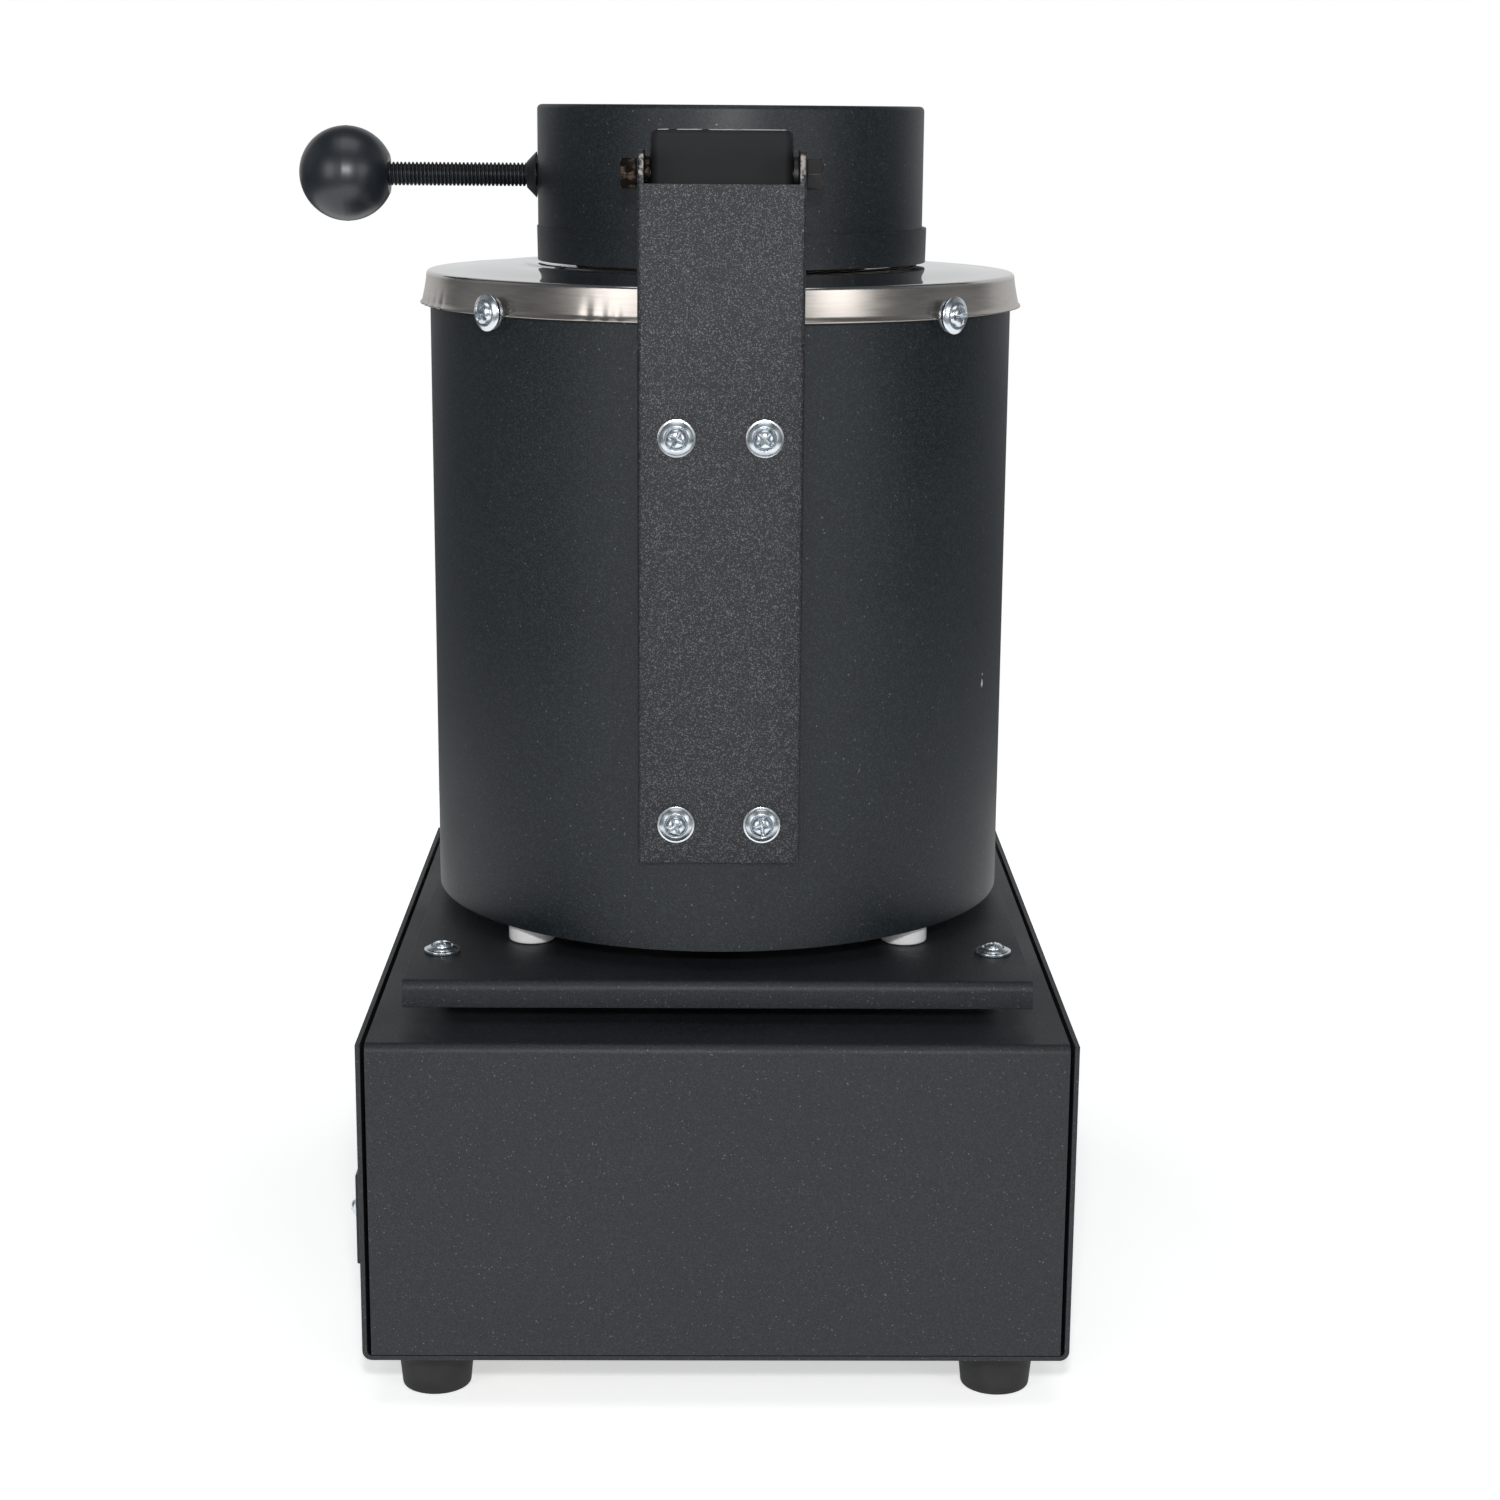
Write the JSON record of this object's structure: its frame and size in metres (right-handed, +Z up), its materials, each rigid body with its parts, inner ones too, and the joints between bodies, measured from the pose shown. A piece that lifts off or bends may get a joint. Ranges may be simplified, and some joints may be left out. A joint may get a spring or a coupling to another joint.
{
  "type": "electric gold melting furnace",
  "caption": "Small electric crucible furnace: steel base box with temperature controller, insulated round tower on standoffs, hinged insulated lid with ball handle.",
  "frame": {"origin": "centre of the base box's footprint, on the surface that the feet stand on", "axes": "+Z up; the control panel faces -Y; the lid hinge is at +Y; the ball handle and the power inlet are at +X"},
  "size_m": [0.1965, 0.2167, 0.3127],
  "materials": {
    "black_powder_coat": "satin",
    "zinc_plated_steel": "satin",
    "polished_stainless": "polished",
    "worn_steel": "matte",
    "brass": "satin",
    "blackened_steel": "satin",
    "gloss_black_resin": "gloss",
    "black_rubber": "matte",
    "white_ceramic": "gloss",
    "refractory_ceramic": "matte",
    "ceramic_fibre": "matte",
    "graphite": "satin",
    "resistance_wire": "matte",
    "black_moulded_plastic": "matte",
    "smoked_window": "gloss",
    "grey_key_plastic": "matte",
    "red_gloss_plastic": "gloss",
    "red_lens": "gloss",
    "green_lens": "gloss",
    "lamp_chrome": "polished",
    "heat_sink_aluminium": "satin",
    "cream_plastic": "matte",
    "circuit_board": "satin",
    "wire_insulation": "satin"
  },
  "bodies": {
    "base": {"chassis_tray": "black_powder_coat", "chassis_cover": "black_powder_coat", "cover_screws": "zinc_plated_steel", "rubber_feet": "black_rubber", "foot_screws": "zinc_plated_steel", "inlet_housing": "black_moulded_plastic", "inlet_pins": "brass", "inlet_screws": "zinc_plated_steel", "controller_bezel": "black_moulded_plastic", "controller_window": "smoked_window", "controller_case": "black_moulded_plastic", "controller_clamps": "zinc_plated_steel", "display_board": "circuit_board", "main_board": "circuit_board", "switch_housing": "black_moulded_plastic", "lamp_holders": "lamp_chrome", "heat_lamp_lens": "red_lens", "power_lamp_lens": "green_lens", "relay_heat_sink": "heat_sink_aluminium", "solid_state_relay": "cream_plastic", "terminal_block": "cream_plastic", "earth_stud": "brass", "mains_wiring": "wire_insulation", "heater_wiring": "wire_insulation", "thermocouple_cable": "wire_insulation", "platform_plate": "black_powder_coat", "platform_spacers": "zinc_plated_steel", "platform_screws": "zinc_plated_steel", "ceramic_standoffs": "white_ceramic", "standoff_bolts": "zinc_plated_steel", "furnace_shell": "black_powder_coat", "base_board": "ceramic_fibre", "insulation_jacket": "ceramic_fibre", "ceramic_muffle": "refractory_ceramic", "heating_coil": "resistance_wire", "heater_leads": "resistance_wire", "lead_bushes": "white_ceramic", "thermocouple": "resistance_wire", "crucible_pedestal": "refractory_ceramic", "top_plate": "polished_stainless", "rim_screws": "zinc_plated_steel", "hinge_bracket": "black_powder_coat", "bracket_screws": "zinc_plated_steel", "pivot_washers": "worn_steel"},
    "lid": {"lid_shell": "black_powder_coat", "lid_band": "black_powder_coat", "lid_liner": "ceramic_fibre", "hinge_lug": "black_powder_coat", "pivot_screws": "worn_steel", "handle_rod": "blackened_steel", "handle_nuts": "blackened_steel", "ball_knob": "gloss_black_resin"},
    "rocker": {"power_rocker": "red_gloss_plastic"},
    "set_key": {"key_set": "grey_key_plastic"},
    "shift_key": {"key_shift": "grey_key_plastic"},
    "down_key": {"key_down": "grey_key_plastic"},
    "up_key": {"key_up": "grey_key_plastic"},
    "crucible": {"graphite_crucible": "graphite"}
  },
  "joints": [
    {"name": "lid_hinge", "type": "hinge", "parent": "base", "child": "lid", "pos_m": [0, 0.0671, 0.2969], "axis": [-1, 0, 0], "range_deg": [0, 120]},
    {"name": "power_switch", "type": "hinge", "parent": "base", "child": "rocker", "pos_m": [0.06, -0.1041, 0.0422], "axis": [1, 0, 0], "range_deg": [0, 20]},
    {"name": "set_key_press", "type": "slide", "parent": "base", "child": "set_key", "axis": [0, 1, 0], "range_m": [0, 0.0008], "stiffness_N_per_m": 250},
    {"name": "shift_key_press", "type": "slide", "parent": "base", "child": "shift_key", "axis": [0, 1, 0], "range_m": [0, 0.0008], "stiffness_N_per_m": 250},
    {"name": "down_key_press", "type": "slide", "parent": "base", "child": "down_key", "axis": [0, 1, 0], "range_m": [0, 0.0008], "stiffness_N_per_m": 250},
    {"name": "up_key_press", "type": "slide", "parent": "base", "child": "up_key", "axis": [0, 1, 0], "range_m": [0, 0.0008], "stiffness_N_per_m": 250},
    {"name": "crucible_lift", "type": "slide", "parent": "base", "child": "crucible", "axis": [0, 0, 1], "range_m": [0, 0.012]}
  ]
}
